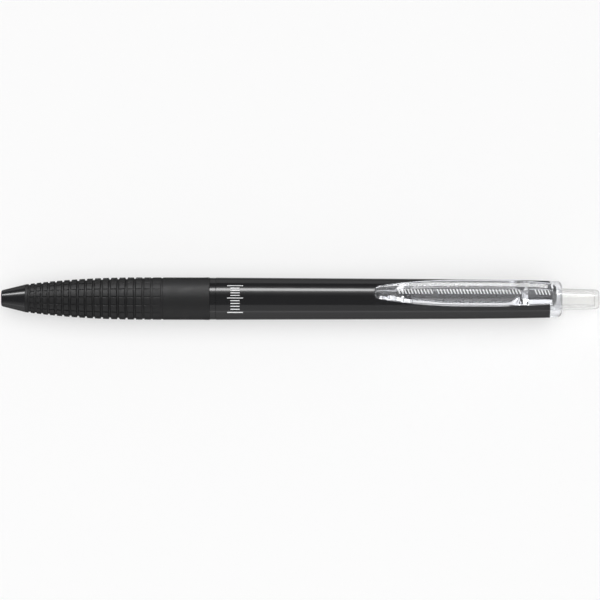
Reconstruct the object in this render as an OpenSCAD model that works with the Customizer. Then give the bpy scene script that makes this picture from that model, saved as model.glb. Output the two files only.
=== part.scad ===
// Retractable gel pen: a two-part black barrel with a ribbed cushion grip, a clear
// cap with its pocket clip, a clear push button, and a refill on a return spring.
// Lengths are in mm. Every sub-part is drawn about the pen's axis, with z counted
// from the mouth and the clip towards +x. lay() then lays the pen along X, with
// its tip towards -X, its clip up, and the lowest point of its barrel at z = 0.

/* [Whole pen] */
// Length from the mouth to the end of the push button
pen_len = 143.4; // [142.6:0.1:144.2]
// Radius of the straight part of the grip and of the barrel's front end
body_r = 5.076; // [5.0:0.002:5.2]
// Radius of the barrel's rear end and of the clear ring
rear_r = 4.436; // [4.42:0.002:4.6]
// Distance from the mouth to the rear end of the barrel
barrel_end = 131.5; // [131.3:0.1:131.7]

/* [Nose] */
// Length of the bare cone ahead of the grip
nose_len = 5.76; // [5.6:0.02:6.0]
// Radius of the cone where the grip begins
nose_r = 3.348; // [3.3:0.002:3.4]
// Radius of the flat front face
mouth_face_r = 1.76; // [1.7:0.01:1.85]
// Radius of the mouth that the point passes through
mouth_r = 1.25; // [1.22:0.01:1.3]
// Length of the mouth's even bore
mouth_len = 2.2; // [2.0:0.1:2.4]

/* [Grip] */
// Where the cushion grip ends, from the mouth
grip_end = 50.0; // [49.8:0.05:50.2]
// Where the swell of the grip has reached the full radius
swell_end = 34; // [32:0.5:36]
// Thickness of the cushion over the barrel
cushion_t = 0.85; // [0.8:0.01:0.9]
// How much thinner the cushion is at the nose
cushion_thin = 0.22; // [0.15:0.01:0.25]
// Height of the small bead at the rear end of the grip
bead_h = 0.041; // [0.02:0.001:0.06]
// Length of the bead's rise
bead_w = 1.7; // [1.2:0.1:2.2]
// Number of ring grooves
ring_count = 18; // [14:1:18]
// Distance from the mouth to the first ring groove
ring_first = 6.77; // [6.6:0.01:6.9]
// Spacing that the ring grooves widen to at the rear
ring_pitch = 2.13; // [2.0:0.01:2.15]
// Depth of the ring grooves where they are deepest
ring_depth = 0.38; // [0.2:0.01:0.42]
// Width of a ring groove at the surface
ring_w = 0.62; // [0.4:0.01:0.7]
// Number of lengthwise grooves round the grip
long_count = 16; // [8:1:20]
// Depth of the lengthwise grooves
long_depth = 0.2; // [0.1:0.01:0.25]
// Width of a lengthwise groove
long_w = 0.34; // [0.2:0.01:0.5]
// Turn of the lengthwise grooves from the clip, in degrees
long_turn = 8.3; // [-11:0.1:11]

/* [Clip] */
// Length of the clip from its tip to the end of its root on the ring
clip_len = 43.6; // [40:0.1:46]
// Half of the clip's greatest width
clip_hw = 3.1; // [3.0:0.02:3.3]
// Half of the clip's width behind its rounded tip
clip_tip_hw = 1.6; // [1.5:0.05:1.8]
// Height of the top of the clip over the pen's axis
clip_top = 8.1; // [7.9:0.05:8.3]
// Height of the underside of the clip over the pen's axis
clip_under = 6.1; // [6.0:0.05:6.2]
// Thickness of the clip's top plate over the hollows under it
clip_plate = 0.8; // [0.6:0.05:1.0]
// Thickness of the side walls of the long hollow
clip_wall = 0.6; // [0.5:0.05:0.8]
// Gap between the barrel and the bump under the clip
clip_gap = 0.06; // [0.05:0.01:0.2]

/* [Cap and button] */
// Length of the clear ring behind the barrel
ring_len = 2.92; // [2.8:0.02:3.0]
// Radius of the rounding at the rear of the clear ring
ring_round = 1.3; // [1.1:0.05:1.4]
// Radius of the push button where it leaves the ring
button_r = 2.62; // [2.5:0.01:2.65]
// Radius of the push button at its end
button_end_r = 2.27; // [2.2:0.01:2.4]
// Radius of the hollow in the push button
button_bore_r = 1.37; // [1.3:0.01:1.5]
// Thickness of the end wall of the push button
button_end_t = 1.0; // [0.8:0.05:1.3]

/* [Refill] */
// Diameter of the writing ball
ball_d = 0.7; // [0.5:0.1:0.8]
// How far the ball lies behind the mouth at rest
ball_inset = 2.2; // [2.0:0.1:2.4]
// Outer radius of the refill's tube
tube_r = 3.05; // [3.0:0.01:3.1]
// Inner radius of the refill's tube
tube_bore_r = 2.35; // [2.2:0.01:2.4]
// Length of the ink in the tube
ink_len = 50; // [5:1:55]
// Length of the grease plug that follows the ink
follower_len = 6; // [4:0.5:8]
// Radius of the spring's wire
wire_r = 0.17; // [0.14:0.01:0.2]
// Turns of the spring
coils = 12; // [8:1:16]

/* [Hidden] */
$fn = 96;
// Gap of a pressed or snapped joint inside one body, and of a running joint
fit = 0.02;
run = 0.1;
// Small edge, used for the bevels and roundings of the moulded pieces
edge = 0.3;
// Height of the pen's axis over its lowest point
axis_z = body_r + bead_h;

// Front barrel: bores from the mouth back, the collar and the spigot with its thread
slide_bore_r = 1.9;
slide_z = 3.7;
seat_z = 12;
spring_bore_r = 2.6;
tube_bore_z = 24;
tube_room_r = tube_r + 0.2;
collar_r = body_r - 0.046;
collar_end = grip_end + 1.48;
spigot_end = collar_end + 8.72;
thread_z = collar_end + 0.96;
thread_pitch = 1.2;
thread_turns = 6;
thread_root_r = 4.1;
thread_crest_r = 4.36;
socket_r = 4.4;
socket_crest_r = 4.16;
ridge_w = 0.54;
ridge_tip = 0.11;

// Grip pattern: how the spacing and the depth of the ring grooves change
pitch_gain = 0.67;
pitch_rate = 7.5;
ring_shallow = 0.62;
ring_deepen = 32;
ring_fade_z = 30;
ring_fade = 9.5;

// Rear barrel: its bore, and the share of its taper that is straight
barrel_bore_r = 3.85;
taper_share = 0.5625;

// Clip: where it is widest, where it narrows, its bump, its hollows and its root
root_lap = 1.4;
clip_end = barrel_end + root_lap;
clip_tip = clip_end - clip_len;
clip_wide_z = clip_tip + 21.2;
clip_narrow_z = clip_end - 13.9;
clip_narrowing = 0.55;
bump_z = clip_tip + 6.9;
slot_z = clip_tip + 2.1;
slot_len = 3.4;
slot_hw = 0.5;
hollow_z = clip_tip + 8.7;
arrow_len = 2.9;
arrow_hw = 1.05;
arrow_z = clip_end - 11.4;
root_z = arrow_z + arrow_len;
window_z = root_z + 1.8;
window_len = 5.0;
window_hw = 1.02;
root_hw = 1.3;
root_round = 1.4;

// Cam sleeve, button and rotor inside the barrel's rear end
sleeve_z = 111;
plug_z = 124;
rib_in_r = 2.75;
rib_out_r = 3.15;
guide_bore_r = 3.3;
guide_w = 2.2;
rib_w = 1.6;
saw_h = 1.0;
ledge_z = barrel_end - 0.5;
rotor_z = 108.7;
rotor_end = 116.6;
rotor_r = 2.55;
rotor_rib_z = 112.4;
pin_r = 1.15;
pin_len = 4.5;
crown_r = 2.45;
crown_z = rotor_end + 0.4;
crown_flare = 1.6;
button_rib_z = 119.5;
tooth_count = 8;
tooth_h = 0.8;
tooth_hw = 0.7;

// Refill at rest, with its point drawn back behind the mouth
ball_r = ball_d / 2;
ball_z = ball_inset + ball_r;
socket_gap = 0.015;
lip_z = ball_z - 0.4 * ball_r;
lip_wall = 0.07;
shank_r = mouth_r - run;
shank_z = 6.7;
cone_z = 3.6;
cone_r = 0.68;
ink_bore_r = 0.7;
ball_feed_r = 0.2;
holder_z = 10;
holder_r = 1.65;
holder_bore_r = 0.8;
shank_end = 14;
flange_z = 30;
flange_r = 2.4;
tube_z = flange_z + 1.5;
ink_z = tube_z + 5.7;
tube_end = 107;
tail_end = rotor_z - 0.05;
tail_len = 4;
vent_r = 0.6;

// Radius of the cushion grip's surface at z
function grip_r(z) =
    z >= swell_end ? body_r
    : body_r - (body_r - nose_r) * pow(1 - (z - nose_len) / (swell_end - nose_len), 2.15);

// Radius of the carrier under the cushion, which is thinner towards the nose
function carrier_r(z) =
    grip_r(z) - cushion_t + cushion_thin * pow(max(0, (seat_z - z) / (seat_z - nose_len)), 2);

// Radius of the rear barrel's surface at z
function barrel_r(z) =
    let (t = (z - collar_end) / (barrel_end - collar_end))
    body_r - (body_r - rear_r) * (taper_share * t + (1 - taper_share) * pow(t, 6));

// Middle of ring groove i: the spacing grows from the nose to the rear
function ring_z(i) =
    i == 0 ? ring_first
    : ring_z(i - 1) + ring_pitch - pitch_gain * exp(-(i - 1) / pitch_rate);

// Depth of the ring groove at z: shallow at both ends of the pattern
function ring_d(z) =
    ring_depth * min(1, ring_shallow + (z - ring_first) / ring_deepen)
        * (z < ring_fade_z ? 1 : max(0.16, 1 - (z - ring_fade_z) / ring_fade));

// Half width of the clip at z
function clip_half(z) =
    let (c = clip_tip + clip_tip_hw)
    z < clip_wide_z
        ? clip_tip_hw + (clip_hw - clip_tip_hw)
            * (1 - pow(1 - max(0, z - c) / (clip_wide_z - c), 2))
    : z < clip_narrow_z ? clip_hw
    : clip_hw - clip_narrowing * pow((z - clip_narrow_z) / (clip_end - 1.9 - clip_narrow_z), 1.3);

// Outline of the clip seen from above, drawn in by a margin, from its tip to z1
function clip_outline(m, z1, n) =
    let (r = clip_tip_hw - m,
         c = clip_tip + clip_tip_hw,
         side = [for (i = [0 : n]) let (z = c + (z1 - c) * i / n) [z, clip_half(z) - m]],
         tip = [for (i = [1 : 11]) let (a = 90 + 15 * i) [c + r * cos(a), r * sin(a)]])
    concat([for (i = [0 : n]) side[n - i]], tip, [for (p = side) [p[0], -p[1]]]);

// One thread ridge in section, from base to crest
function ridge(z, base, crest) =
    [[base, z - ridge_w / 2], [crest, z - ridge_tip / 2],
     [crest, z + ridge_tip / 2], [base, z + ridge_w / 2]];

// Lays a sub-part drawn about the axis along X, tip towards -X and clip up
module lay() {
    translate([-pen_len / 2, 0, axis_z])
        rotate([0, 90, 0])
            rotate([0, 0, 180])
                children();
}

// A solid of revolution from [radius, z] points
module turn(points) {
    rotate_extrude()
        polygon(points);
}

// A prism from [z, y] points, as seen from over the clip, between two heights
module plan(points, low, high) {
    translate([low, 0, 0])
        rotate([0, 90, 0])
            linear_extrude(high - low)
                polygon([for (p = points) [-p[0], p[1]]]);
}

// A rectangle as [z, y] points for plan()
function box_points(z, len, hw) = [[z, hw], [z + len, hw], [z + len, -hw], [z, -hw]];

// Wedges round the axis that point towards the mouth, with their bases at z
module wedges(z, len, hw, high) {
    for (k = [0 : tooth_count - 1])
        rotate([0, 0, 360 * k / tooth_count])
            plan([[z, hw], [z - len, 0], [z, -hw]], 0.6, high);
}

module front_barrel() {
    swell = [for (i = [0 : 14])
        let (z = nose_len + (swell_end - nose_len) * i / 14) [carrier_r(z), z]];
    ridges = [for (i = [0 : thread_turns - 1])
        each ridge(thread_z + thread_pitch * i, thread_root_r, thread_crest_r)];
    color([0.09, 0.09, 0.10])
        lay()
            turn(concat(
                [[mouth_r, 0], [mouth_face_r, 0],
                 [mouth_face_r + 0.2, 0.22], [mouth_face_r + 0.32, 0.66],
                 [nose_r, nose_len]],
                swell,
                [[body_r - cushion_t, grip_end],
                 [collar_r, grip_end], [collar_r, collar_end],
                 [thread_root_r, collar_end]],
                ridges,
                [[thread_root_r, spigot_end - edge], [thread_root_r - edge, spigot_end],
                 [tube_room_r, spigot_end], [tube_room_r, tube_bore_z],
                 [spring_bore_r, tube_bore_z], [spring_bore_r, seat_z],
                 [slide_bore_r, seat_z], [slide_bore_r, slide_z],
                 [mouth_r, mouth_len]]));
}

module rubber_grip() {
    long_z = ring_first + 0.35;
    fade_z = ring_z(ring_count - 1) + 1.2;
    rings = [for (i = [0 : ring_count - 1])
        let (z = ring_z(i), d = ring_d(z), h = ring_w / 2)
        for (q = [[0, -h], [d, -h * 0.55], [d, h * 0.55], [0, h]])
            [grip_r(z + q[1]) - q[0], z + q[1]]];
    skin = concat(
        [[nose_r, nose_len], [grip_r(nose_len + edge), nose_len + edge]],
        rings,
        [[body_r, grip_end - bead_w], [body_r + bead_h, grip_end - edge], [body_r, grip_end]]);
    bore = [for (i = [0 : 14])
        let (z = swell_end - (swell_end - nose_len) * i / 14) [carrier_r(z) + fit, z]];
    floor_line = [for (i = [0 : 10])
        let (t = i / 10, z = long_z + (fade_z - long_z) * t)
        [grip_r(z) - long_depth * (1 - pow(t, 5)), z]];
    color([0.16, 0.16, 0.17])
        lay()
            difference() {
                turn(concat(skin, [[body_r - cushion_t + fit, grip_end]], bore));
                for (k = [0 : long_count - 1])
                    rotate([90, 0, long_turn + 360 * k / long_count])
                        translate([0, 0, -long_w / 2])
                            linear_extrude(long_w)
                                polygon(concat(
                                    floor_line,
                                    [[body_r + 1, fade_z], [body_r + 1, long_z]]));
            }
}

module rear_barrel() {
    outer = [for (i = [0 : 16])
        let (z = collar_end + (barrel_end - collar_end) * i / 16) [barrel_r(z), z]];
    // the ridges of the socket lie between those of the spigot
    ridges = [for (i = [1 : thread_turns])
        let (q = ridge(thread_z + thread_pitch * (thread_turns - i + 0.5), socket_r, socket_crest_r))
        for (k = [3 : -1 : 0]) q[k]];
    color([0.05, 0.05, 0.055])
        lay()
            turn(concat(
                outer,
                [[barrel_bore_r, barrel_end], [barrel_bore_r, spigot_end + edge],
                 [socket_r, spigot_end + edge]],
                ridges,
                [[socket_r, collar_end]]));
}

module clip_cap() {
    ring_end = barrel_end + ring_len;
    plug_r = barrel_bore_r - fit;
    bore_r = button_r + run;
    dome_r = rear_r - ring_round;
    seat_r = rear_r + 0.16;
    bump_r = barrel_r(bump_z) + clip_gap;
    hollow_top = clip_top - clip_plate;
    dome = [for (i = [0 : 6]) let (a = 15 * i)
        [dome_r + ring_round * cos(a), ring_end - ring_round + ring_round * sin(a)]];
    top_line = [[clip_top - 1.1, clip_tip], [clip_top - 0.5, clip_tip + 0.3],
                [clip_top - 0.12, clip_tip + 1.5], [clip_top, clip_tip + 7],
                [clip_top, clip_tip + 20], [clip_top - 0.1, clip_end - 12.6],
                [clip_top - 0.35, clip_end - 6], [clip_top - 0.8, clip_end - 2.3],
                [clip_top - 1.35, clip_end - 0.9], [clip_top - 2.2, clip_end]];
    under_line = [[rib_out_r + edge, clip_end], [rib_out_r + edge, barrel_end],
                  [seat_r, barrel_end], [seat_r, root_z + 0.8], [clip_under, root_z],
                  [clip_under, bump_z + 2.2], [bump_r + 0.4, bump_z + 1.1],
                  [bump_r, bump_z], [bump_r + 0.8, bump_z - 2.3],
                  [clip_under + 0.3, clip_tip + 1.6]];
    root_end = [for (i = [0 : 4]) let (a = 22.5 * i)
        [clip_end - root_round + root_round * cos(a), root_hw + root_round * sin(a)]];
    color([0.80, 0.83, 0.86, 0.45])
        lay()
            union() {
                turn(concat(
                    [[guide_bore_r, plug_z], [plug_r, plug_z], [plug_r, barrel_end],
                     [rear_r, barrel_end]],
                    dome,
                    [[bore_r + edge / 2, ring_end], [bore_r, ring_end - edge / 2],
                     [bore_r, ledge_z], [guide_bore_r, ledge_z]]));
                difference() {
                    intersection() {
                        turn(concat(top_line, under_line));
                        plan(concat(
                            root_end,
                            clip_outline(0, barrel_end - 0.5, 26),
                            [for (i = [4 : -1 : 0]) [root_end[i][0], -root_end[i][1]]]),
                            0, 12);
                    }
                    // long hollow with its pointed rear end
                    intersection() {
                        plan(concat(
                            [[root_z, arrow_hw]],
                            clip_outline(clip_wall, arrow_z, 14),
                            [[root_z, -arrow_hw]]), rear_r, hollow_top - 0.1);
                        plan(box_points(hollow_z, root_z - hollow_z, clip_hw), rear_r, clip_top);
                    }
                    // slot in the tip, ahead of the bump, and window in the root
                    plan(box_points(slot_z, slot_len, slot_hw), rear_r, hollow_top - 0.2);
                    plan(box_points(window_z, window_len, window_hw), rear_r - 0.5, hollow_top - 0.6);
                }
            }
}

module cam_sleeve() {
    color([0.86, 0.87, 0.88])
        lay()
            union() {
                difference() {
                    translate([0, 0, sleeve_z])
                        cylinder(r = barrel_bore_r - fit, h = plug_z - sleeve_z);
                    translate([0, 0, sleeve_z - 1])
                        cylinder(r = guide_bore_r, h = plug_z - sleeve_z + 2);
                }
                for (k = [0 : 3])
                    rotate([0, 0, 45 + 90 * k])
                        difference() {
                            plan([[sleeve_z + edge, guide_w / 2],
                                  [sleeve_z + edge + saw_h, -guide_w / 2],
                                  [plug_z, -guide_w / 2], [plug_z, guide_w / 2]],
                                 rib_in_r - edge, barrel_bore_r - edge);
                            translate([0, 0, sleeve_z - 1])
                                cylinder(r = rib_in_r, h = plug_z - sleeve_z + 2);
                        }
            }
}

module push_button() {
    color([0.90, 0.91, 0.92, 0.4])
        lay()
            union() {
                turn([[button_bore_r, crown_z], [crown_r, crown_z],
                      [button_r, crown_z + crown_flare], [button_r, barrel_end + ring_len],
                      [button_end_r + 0.06, pen_len - 0.9],
                      [button_end_r - 0.03, pen_len - 0.45],
                      [button_end_r - 0.24, pen_len - 0.13],
                      [button_end_r - 0.55, pen_len],
                      [0, pen_len], [0, pen_len - button_end_t],
                      [button_bore_r - edge, pen_len - button_end_t],
                      [button_bore_r, pen_len - button_end_t - edge]]);
                // crown teeth that turn the rotor, in mesh with its notches
                intersection() {
                    turn([[button_bore_r, crown_z - 1.2], [crown_r, crown_z - 1.2],
                          [crown_r, crown_z + edge], [button_bore_r, crown_z + edge]]);
                    wedges(crown_z + edge / 2, tooth_h + 0.25, tooth_hw - run, 4);
                }
                // ribs that run in the cam sleeve's slots and hold the button in
                for (k = [0 : 3])
                    rotate([0, 0, 90 * k])
                        intersection() {
                            plan(box_points(button_rib_z, ledge_z - run - button_rib_z, rib_w / 2),
                                 rib_in_r - 0.5, 4);
                            translate([0, 0, button_rib_z - 1])
                                cylinder(r = rib_out_r, h = ledge_z - button_rib_z + 2);
                        }
            }
}

module cam_rotor() {
    color([0.86, 0.87, 0.88])
        lay()
            union() {
                difference() {
                    turn([[0, rotor_z], [rotor_r - edge, rotor_z], [rotor_r, rotor_z + edge],
                          [rotor_r, rotor_end], [pin_r, rotor_end],
                          [pin_r, rotor_end + pin_len - edge],
                          [pin_r - edge, rotor_end + pin_len], [0, rotor_end + pin_len]]);
                    // notches for the button's crown teeth, outside the guide pin
                    difference() {
                        wedges(rotor_end + run, tooth_h + run, tooth_hw, 4);
                        translate([0, 0, rotor_end - 3])
                            cylinder(r = pin_r, h = 6);
                    }
                }
                // four ribs with slanted rear ends that rest on the cam sleeve's ribs
                for (k = [0 : 3])
                    rotate([0, 0, 90 * k])
                        intersection() {
                            plan([[rotor_rib_z, rib_w / 2], [rotor_rib_z, -rib_w / 2],
                                  [rotor_end + edge, -rib_w / 2],
                                  [rotor_end + edge - saw_h, rib_w / 2]],
                                 crown_r + 0.05, 4);
                            translate([0, 0, rotor_rib_z - 1])
                                cylinder(r = rib_out_r, h = 9);
                        }
            }
}

// Rings of points along the spring's wire, joined into one closed skin
module return_spring() {
    n = 18;
    m = 8;
    mean_r = (holder_r + spring_bore_r) / 2;
    low = seat_z + wire_r + fit;
    high = flange_z - wire_r - fit;
    // the first and last turns lie closed against their seats
    closed = 2 * wire_r * 1.06;
    rise = (high - low - 2 * closed) / (coils - 2);
    function lift(t) =
        t < 1 ? closed * t
        : t > coils - 1 ? high - low - closed * (coils - t)
        : closed + rise * (t - 1);
    points = [for (i = [0 : coils * n])
        let (a = 360 * i / n)
        for (j = [0 : m - 1])
            let (b = 360 * j / m, r = mean_r + wire_r * cos(b))
            [r * cos(a), r * sin(a), low + lift(i / n) + wire_r * sin(b)]];
    sides = [for (i = [0 : coils * n - 1])
        for (j = [0 : m - 1])
            let (p = i * m + j, q = i * m + (j + 1) % m)
            [p, q, q + m, p + m]];
    ends = [[for (j = [m - 1 : -1 : 0]) j], [for (j = [0 : m - 1]) coils * n * m + j]];
    color([0.75, 0.76, 0.78])
        lay()
            polyhedron(points, concat(sides, ends), convexity = 20);
}

module refill_tube() {
    color([0.82, 0.84, 0.86, 0.5])
        lay()
            turn([[tube_bore_r, tube_z], [tube_r - edge / 2, tube_z],
                  [tube_r, tube_z + edge / 2],
                  [tube_r, tube_end], [tube_bore_r, tube_end]]);
}

module tip_holder() {
    plug_r = tube_bore_r - fit;
    back = ink_z - 0.05;
    color([0.88, 0.89, 0.90])
        lay()
            turn([[shank_r + fit, holder_z], [holder_r - edge / 2, holder_z],
                  [holder_r, holder_z + 0.8], [holder_r, flange_z],
                  [flange_r, flange_z], [flange_r, tube_z],
                  [plug_r, tube_z], [plug_r, back - edge],
                  [plug_r - edge, back], [holder_bore_r, back],
                  [holder_bore_r, shank_end + fit], [shank_r + fit, shank_end + fit]]);
}

module metal_tip() {
    color([0.78, 0.76, 0.70])
        lay()
            difference() {
                turn([[0, lip_z], [ball_r + lip_wall, lip_z],
                      [ball_r + 2 * lip_wall, lip_z + ball_r],
                      [cone_r, cone_z], [shank_r, shank_z], [shank_r, shank_end],
                      [ink_bore_r, shank_end], [ink_bore_r, shank_z],
                      [ball_feed_r, shank_z - 1.3], [ball_feed_r, ball_z + 0.2],
                      [0, ball_z + 0.2]]);
                translate([0, 0, ball_z])
                    sphere(r = ball_r + socket_gap);
            }
}

module writing_ball() {
    color([0.55, 0.56, 0.58])
        lay()
            translate([0, 0, ball_z])
                sphere(r = ball_r);
}

module ink_column() {
    color([0.02, 0.02, 0.03])
        lay()
            translate([0, 0, ink_z])
                cylinder(r = tube_bore_r - fit, h = ink_len);
}

module ink_follower() {
    color([0.85, 0.82, 0.70, 0.7])
        lay()
            translate([0, 0, ink_z + ink_len])
                cylinder(r = tube_bore_r - fit, h = follower_len);
}

module tail_plug() {
    plug_r = tube_bore_r - fit;
    color([0.88, 0.89, 0.90])
        lay()
            turn([[vent_r, tube_end - tail_len], [plug_r - edge, tube_end - tail_len],
                  [plug_r, tube_end - tail_len + edge], [plug_r, tube_end],
                  [tube_r, tube_end], [tube_r, tail_end - edge], [tube_r - edge, tail_end],
                  [vent_r, tail_end]]);
}

front_barrel();
rubber_grip();
rear_barrel();
clip_cap();
cam_sleeve();
push_button();
cam_rotor();
return_spring();
refill_tube();
tip_holder();
metal_tip();
writing_ball();
ink_column();
ink_follower();
tail_plug();
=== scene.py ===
"""A retractable gel pen lying clip up on a pale sheet: its finished surfaces, studio and camera.

Sizes are in millimetres along the pen from its mouth, s, and round its axis: a radius r and an
angle a that starts under the clip and turns towards the viewer. place() puts them in metres.
A section is a list of rows, each with the s and r of a corner and how far it is cut back to
round it.
"""

import logging
import math
from collections.abc import Callable
from dataclasses import dataclass
from enum import Enum

import bmesh
import bpy
import numpy as np
from mathutils import Matrix, Vector
from mathutils.bvhtree import BVHTree


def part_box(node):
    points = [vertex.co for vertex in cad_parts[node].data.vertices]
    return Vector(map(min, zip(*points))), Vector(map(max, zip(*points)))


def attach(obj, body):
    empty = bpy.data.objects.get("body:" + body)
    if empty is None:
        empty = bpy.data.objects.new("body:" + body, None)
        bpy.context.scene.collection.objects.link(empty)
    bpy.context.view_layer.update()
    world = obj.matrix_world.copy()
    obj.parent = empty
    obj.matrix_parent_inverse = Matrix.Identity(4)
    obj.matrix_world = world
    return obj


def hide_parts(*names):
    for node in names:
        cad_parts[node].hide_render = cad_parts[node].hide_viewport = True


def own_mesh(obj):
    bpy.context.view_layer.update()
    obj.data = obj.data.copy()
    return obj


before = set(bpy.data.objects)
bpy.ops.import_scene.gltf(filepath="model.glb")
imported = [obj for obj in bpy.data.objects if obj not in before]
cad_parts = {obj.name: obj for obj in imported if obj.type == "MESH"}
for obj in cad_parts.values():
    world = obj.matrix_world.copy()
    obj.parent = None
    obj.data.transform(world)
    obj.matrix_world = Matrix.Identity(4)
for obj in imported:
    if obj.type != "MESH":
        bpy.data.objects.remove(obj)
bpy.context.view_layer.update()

Array = np.ndarray
Colour = tuple[float, float, float, float]
Span = tuple[float, float]
Grids = tuple[Array | float, Array | float]
Piece = bpy.types.Object
Socket = bpy.types.NodeSocket

log = logging.getLogger("gel_pen")

PEN_LEN = 143.4
AXIS_HEIGHT = 5.117
PICTURE = 600
FULL_TURN = 2 * np.pi
CREASE = 32.0

# Where things show in the photograph, in pixels from its upper left corner. An edge of the whole
# pen has one number, x or y, and a feature has both.
IMAGE_POINTS: dict[str, tuple[float | None, float | None]] = {
    "left_edge": (1.5, None),
    "right_edge": (599.2, None),
    "top_edge": (None, 277.6),
    "bottom_edge": (None, 320.2),
    "nose_collar": (25.5, 298.5),
    "first_ring_groove": (29.7, 298.6),
    "last_ring_groove": (162.3, 298.9),
    "grip_rear_end": (209.5, 298.9),
    "barrel_seam": (216.0, 299.1),
    "barrel_print": (235.0, 298.0),
    "clip_tip": (373.5, 292.5),
    "clip_print_start": (399.0, 292.0),
    "clip_print_end": (549.0, 292.0),
    "clip_lower_side": (480.5, 306.8),
    "ring_front_edge": (551.2, 316.9),
    "button_end": (599.2, 298.4),
}


class Body(Enum):
    """The moving bodies of the pen."""

    BARREL = "barrel"
    BUTTON = "button"
    ROTOR = "rotor"
    REFILL = "refill"
    BALL = "ball"


class Slot(Enum):
    """The finishes that the pen's record names."""

    BARREL = "barrel_plastic"
    GRIP = "grip_rubber"
    CLEAR = "clear_plastic"
    WHITE = "white_plastic"
    SPRING = "spring_steel"
    REFILL = "refill_plastic"
    TIP = "tip_metal"
    BALL = "ball_carbide"
    INK = "gel_ink"
    GREASE = "grease"


# ---- surfaces


@dataclass(frozen=True)
class Skin:
    """A surface as points in metres and the four corners of each face."""

    points: Array
    faces: Array


def place(s: Array, r: Array, a: Array) -> Array:
    """Points round the pen's axis: x is s less half the pen, y -r sin a, z the axis + r cos a.

    Args:
        s: distances from the mouth, in millimetres.
        r: radii, in millimetres.
        a: angles from straight up towards the viewer, in radians.

    Returns:
        The points in metres, x y z last.
    """
    s, r, a = np.broadcast_arrays(s, r, a)
    return np.stack([s - PEN_LEN / 2, -r * np.sin(a), AXIS_HEIGHT + r * np.cos(a)], -1) / 1000


def grid_skin(points: Array, loop_rows: bool = False) -> Skin:
    """The skin over a grid: a face joins each point to the next in its ring and the next ring.

    Args:
        points: rings by points by x y z; the last point of a ring joins its first.
        loop_rows: the last ring joins the first.

    Returns:
        The skin, its faces turned away from the axis.
    """
    rows, cols = points.shape[:2]
    i = np.arange(rows if loop_rows else rows - 1)[:, None]
    j = np.arange(cols)[None]
    here, down, beside = i * cols, (i + 1) % rows * cols, (j + 1) % cols
    corners = np.broadcast_arrays(here + j, here + beside, down + beside, down + j)
    return Skin(points.reshape(-1, 3), np.stack(corners, -1).reshape(-1, 4))


def capped(rings: Array) -> Skin:
    """The skin over a row of rings, with both ends drawn to a point in their middle."""
    first, last = (np.broadcast_to(rings[k].mean(0), rings[k].shape)[None] for k in (0, -1))
    return grid_skin(np.concatenate([first, rings, last]))


def bridge(t: Array, start: Array, corner: Array, end: Array) -> Array:
    """The parabola round a corner: (1 - t)^2 start + 2 t (1 - t) corner + t^2 end."""
    return (1 - t) ** 2 * start + 2 * t * (1 - t) * corner + t**2 * end


def curve(s: Array, r: Array) -> Array:
    """The rows of a section's stretch that is curved already and needs no rounding."""
    return np.stack([s, r, 0 * s], -1)


def rounded(line: Array) -> Array:
    """A section with its corners rounded.

    Each corner is cut back along both sides, by 0.3 of a side at most, and bridged by a
    parabola. One more point on each side keeps the straight parts straight when shaded smooth.

    Args:
        line: a row of s, r and cut-back distance for each corner; 0 keeps it sharp, as at both
            ends of a line that isn't closed.

    Returns:
        The s, r points of the rounded line.
    """
    corner, cut = line[:, :2], line[:, 2]
    sides = []
    for way in (1, -1):
        side = np.roll(corner, way, 0) - corner
        reach = np.linalg.norm(side, axis=1)
        sides.append(side * (np.minimum(cut, 0.3 * reach) / np.maximum(reach, 1e-9))[:, None])
    start, end = corner + sides[0], corner + sides[1]
    t = np.linspace(0, 1, 5)[None, :, None]
    arc = bridge(t, start[:, None], corner[:, None], end[:, None])
    lead, tail = ((corner + 1.5 * (p - corner))[:, None] for p in (start, end))
    every = np.concatenate([lead, arc, tail], 1)
    keep = np.broadcast_to((cut > 0)[:, None], every.shape[:2]).copy()
    keep[:, 1] = True
    return every[keep]


def rise(x: Array, width: float) -> Array:
    """A smooth step from 0 to 1 as x goes from 0 to the width: t^2 (3 - 2 t)."""
    t = np.clip(x / width, 0, 1)
    return t * t * (3 - 2 * t)


def arc_h(r: Array, w: Array) -> Array:
    """Height over the axis of a circle of radius r at w across: h^2 = r^2 - w^2."""
    return np.sqrt(np.clip(r * r - w * w, 0.01, None))


def off_middle(a: Array, count: int, first: float) -> Array:
    """The angle from the nearest of some evenly set ribs, grooves or teeth."""
    part = FULL_TURN / count
    return np.mod(a - first + part / 2, part) - part / 2


def rib_turn(first: float, half: float, fillers: int) -> tuple[Array, Array]:
    """Angles for a full turn with four ribs: just inside and outside each side, and even ones.

    Args:
        first: the middle of the first rib, in radians.
        half: half a rib's width, in radians.
        fillers: number of even angles.

    Returns:
        The angles in order, and 1 where one lies in a rib, else 0.
    """
    middles = first + np.pi / 2 * np.arange(4)
    sides = np.concatenate([middles - half, middles + half])
    even = np.linspace(0, FULL_TURN, fillers, endpoint=False)
    close = np.mod(np.concatenate([sides - 2e-4, sides + 2e-4]), FULL_TURN)
    a = np.unique(np.concatenate([even, close]))
    return a, (np.abs(off_middle(a, 4, first)) < half).astype(float)


def smooth(mesh: bpy.types.Mesh, crease: float) -> None:
    """Shades a mesh smooth, apart from its edges sharper than the crease angle in degrees."""
    mesh.shade_smooth()
    mesh.set_sharp_from_angle(angle=math.radians(crease))


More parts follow.
